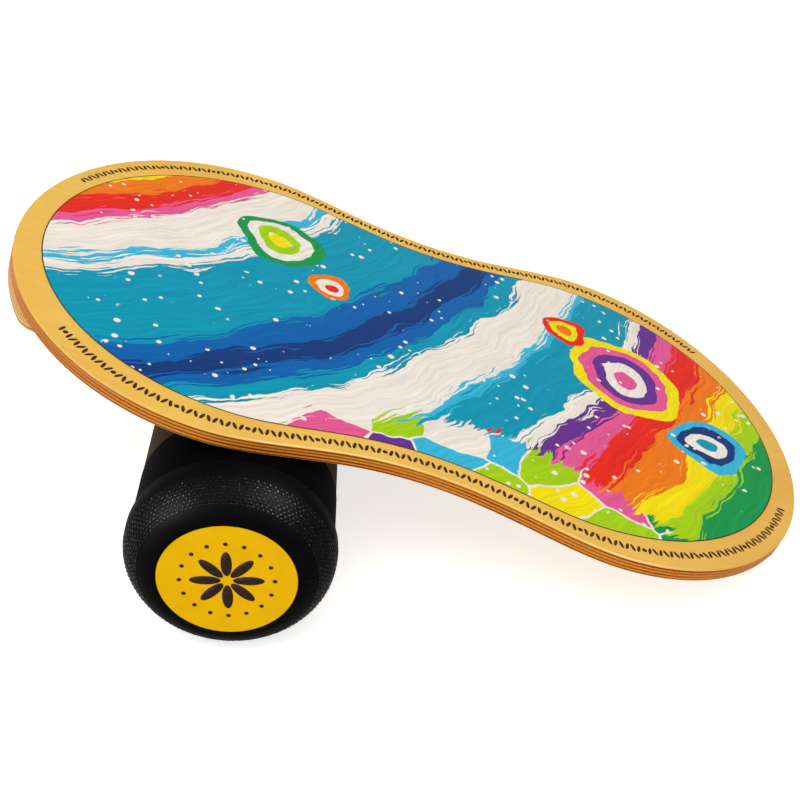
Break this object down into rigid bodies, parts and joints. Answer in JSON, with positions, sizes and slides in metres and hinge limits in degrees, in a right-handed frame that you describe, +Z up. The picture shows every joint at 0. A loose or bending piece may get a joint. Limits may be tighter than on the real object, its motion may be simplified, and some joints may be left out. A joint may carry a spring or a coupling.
{
  "type": "rola bola",
  "caption": "Balance board: a waisted plywood deck with a stop block under each end, lying on a loose hollow roller with fatter rounded ends, one end of the deck down on the floor.",
  "frame": {"origin": "on the floor under the middle of the whole set, deck end down as pictured", "axes": "+X along the deck towards the end that rests on the floor, +Y along the roller, away from the viewer, +Z up"},
  "size_m": [0.7126, 0.546, 0.2402],
  "materials": {
    "birch_face": "clear lacquered birch veneer",
    "birch_long_grain": "sanded and lacquered ply edge, long grain",
    "birch_cross_grain": "sanded and lacquered ply edge, end grain",
    "stop_block_birch": "lacquered birch plywood",
    "printed_film": "printed film, satin gloss, many colours",
    "black_tube": "smooth black plastic",
    "black_cap": "black plastic with a pebbled band",
    "yellow_label": "yellow printed film",
    "screw_steel": "zinc plated"
  },
  "bodies": {
    "roller": {"roller_tube": "black_tube", "near_end_cap": "black_cap", "far_end_cap": "black_cap", "near_label": "yellow_label", "far_label": "yellow_label"},
    "deck": {"top_face_ply": "birch_face", "cross_ply_1": "birch_cross_grain", "long_ply_1": "birch_long_grain", "cross_ply_2": "birch_cross_grain", "core_ply": "birch_long_grain", "cross_ply_3": "birch_cross_grain", "long_ply_3": "birch_long_grain", "cross_ply_4": "birch_cross_grain", "bottom_face_ply": "birch_face", "printed_deck_film": "printed_film", "lowered_end_stopper": "stop_block_birch", "raised_end_stopper": "stop_block_birch", "lowered_end_stopper_screw_1": "screw_steel", "lowered_end_stopper_screw_2": "screw_steel", "lowered_end_stopper_screw_3": "screw_steel", "raised_end_stopper_screw_1": "screw_steel", "raised_end_stopper_screw_2": "screw_steel", "raised_end_stopper_screw_3": "screw_steel"}
  },
  "joints": [
    {"name": "deck_tilt", "type": "hinge", "parent": "roller", "child": "deck", "pos_m": [-0.1526, 0, 0.08275], "axis": [0, -1, 0], "range_deg": [0, 53.3]}
  ]
}
